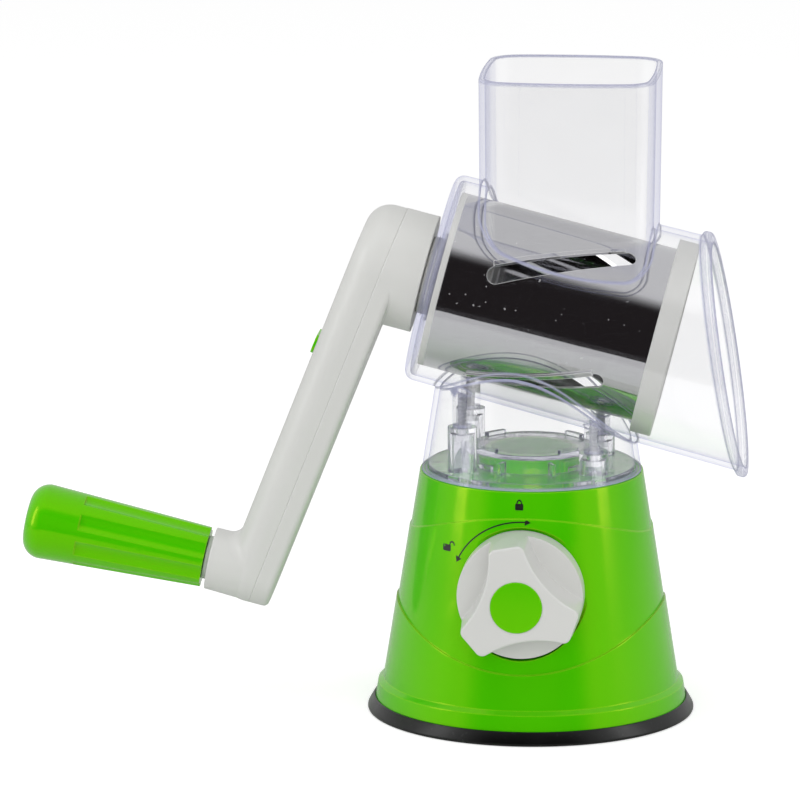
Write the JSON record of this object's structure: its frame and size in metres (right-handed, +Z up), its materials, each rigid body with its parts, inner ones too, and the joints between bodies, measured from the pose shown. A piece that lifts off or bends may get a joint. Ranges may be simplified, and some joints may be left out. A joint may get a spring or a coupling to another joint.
{
  "type": "rotary cheese grater",
  "caption": "Hand-cranked drum grater: steel slicing drum in a clear tilted housing with a feed chute, on a cone base with a knob-locked suction foot.",
  "frame": {"origin": "middle of the suction foot on the table", "axes": "+Z up, +X towards the open mouth where the food falls out, -Y towards the locking knob"},
  "size_m": [0.3067, 0.1465, 0.2726],
  "materials": {
    "green_plastic": "glossy lime green moulding",
    "white_plastic": "satin white moulding",
    "clear_plastic": "clear polished moulding",
    "steel": "polished stainless steel",
    "rubber": "dark grey rubber",
    "inner_plastic": "natural acetal"
  },
  "bodies": {
    "base": {"base_shell": "green_plastic", "suction_pad": "rubber", "lift_frame": "inner_plastic", "frame_screws": "steel", "shaft_bush": "inner_plastic"},
    "knob": {"knob": "white_plastic", "knob_cap": "green_plastic", "knob_screw": "steel", "knob_shaft": "steel", "shaft_clip": "steel"},
    "stem": {"lift_stem": "inner_plastic", "pad_insert": "steel"},
    "hopper": {"hopper_housing": "clear_plastic", "bayonet_plate": "clear_plastic", "hopper_screws": "steel"},
    "crank": {"crank_arm": "white_plastic", "crank_cover": "white_plastic", "arm_inlay": "green_plastic", "drive_spindle": "white_plastic", "spindle_screw": "steel", "crank_screws": "steel", "grip_pin": "steel", "grip_collar": "white_plastic"},
    "drum": {"drum_sleeve": "steel", "drum_rim": "white_plastic", "drum_hub": "white_plastic"},
    "grip": {"grip": "green_plastic"}
  },
  "joints": [
    {"name": "knob_turn", "type": "hinge", "parent": "base", "child": "knob", "pos_m": [0, 0, 0.0611], "axis": [0, -1, 0], "range_deg": [0, 70]},
    {"name": "stem_lift", "type": "slide", "parent": "base", "child": "stem", "axis": [0, 0, 1], "range_m": [-0.0058, 0], "deforming": ["suction_pad"]},
    {"name": "hopper_twist", "type": "hinge", "parent": "base", "child": "hopper", "pos_m": [0, 0, 0.1031], "axis": [0, 0, 1], "range_deg": [0, 32]},
    {"name": "crank_spin", "type": "hinge", "parent": "hopper", "child": "crank", "pos_m": [0.00765, 0, 0.1719], "axis": [0.9703, 0, -0.2419], "continuous": true},
    {"name": "drum_slide", "type": "slide", "parent": "crank", "child": "drum", "axis": [0.9703, 0, -0.2419], "range_m": [0, 0.15]},
    {"name": "grip_spin", "type": "hinge", "parent": "crank", "child": "grip", "pos_m": [-0.13593, 0, 0.06104], "axis": [0.9803, 0, -0.1977], "continuous": true}
  ],
  "couplings": [
    {"joint": "stem_lift", "follows": "knob_turn", "m_per_rad": -0.0046948}
  ]
}
